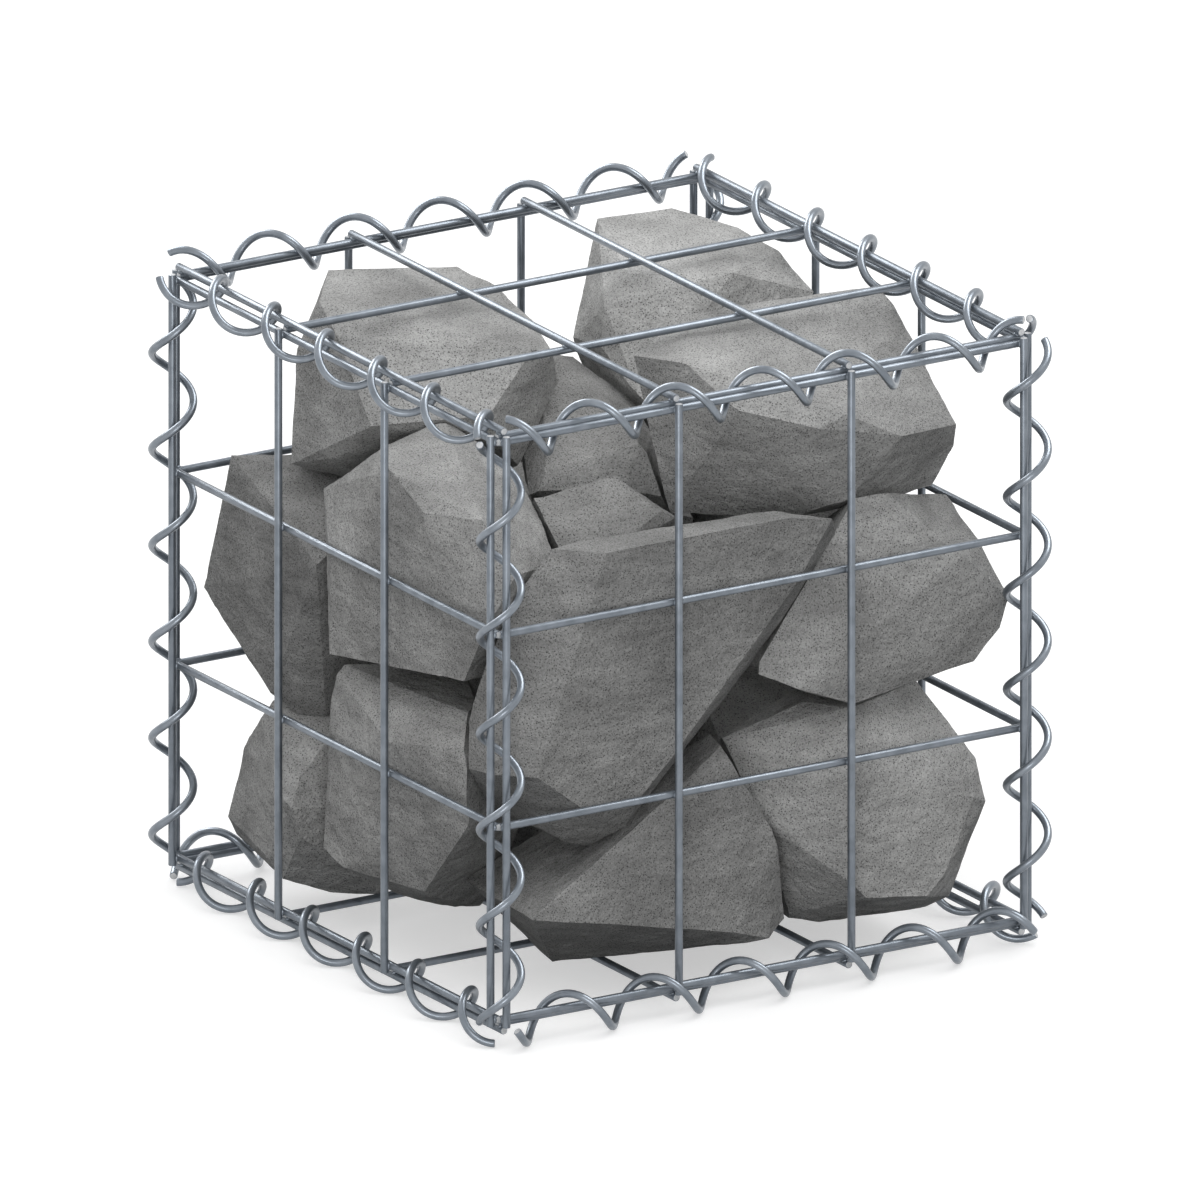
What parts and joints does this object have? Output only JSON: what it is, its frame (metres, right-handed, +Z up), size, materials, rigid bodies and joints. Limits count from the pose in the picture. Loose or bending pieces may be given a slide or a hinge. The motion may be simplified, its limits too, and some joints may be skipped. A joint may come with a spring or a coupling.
{
  "type": "gabion basket",
  "caption": "Cube gabion: welded steel mesh panels laced along every edge with spiral binder coils and filled with loose angular quarried stones.",
  "frame": {"origin": "centre of the basket's outer box, on the floor under it", "axes": "+X to the right along the front face, +Y from the front face to the back one, +Z up"},
  "size_m": [0.3324, 0.3356, 0.3295],
  "materials": {
    "mesh_wire": "galvanised",
    "coil_wire": "galvanised",
    "fill_stone": "rough"
  },
  "bodies": {
    "root": {"panel_front": "mesh_wire", "panel_back": "mesh_wire", "panel_left": "mesh_wire", "panel_right": "mesh_wire", "panel_top": "mesh_wire", "panel_bottom": "mesh_wire", "coil_front_left": "coil_wire", "coil_front_right": "coil_wire", "coil_back_right": "coil_wire", "coil_back_left": "coil_wire", "coil_top_front": "coil_wire", "coil_top_back": "coil_wire", "coil_bottom_front": "coil_wire", "coil_bottom_back": "coil_wire", "coil_top_left": "coil_wire", "coil_top_right": "coil_wire", "coil_bottom_left": "coil_wire", "coil_bottom_right": "coil_wire", "stone_top_left": "fill_stone", "stone_top_back": "fill_stone", "stone_top_right": "fill_stone", "stone_core": "fill_stone", "stone_left": "fill_stone", "stone_front_left": "fill_stone", "stone_wedge": "fill_stone", "stone_front": "fill_stone", "stone_right": "fill_stone", "stone_low_left": "fill_stone", "stone_low_corner": "fill_stone", "stone_low_front": "fill_stone", "stone_low_right": "fill_stone", "stone_bed_middle": "fill_stone", "stone_bed_right": "fill_stone", "stone_rear_left": "fill_stone", "stone_rear_middle": "fill_stone", "stone_rear_right": "fill_stone"}
  },
  "joints": []
}
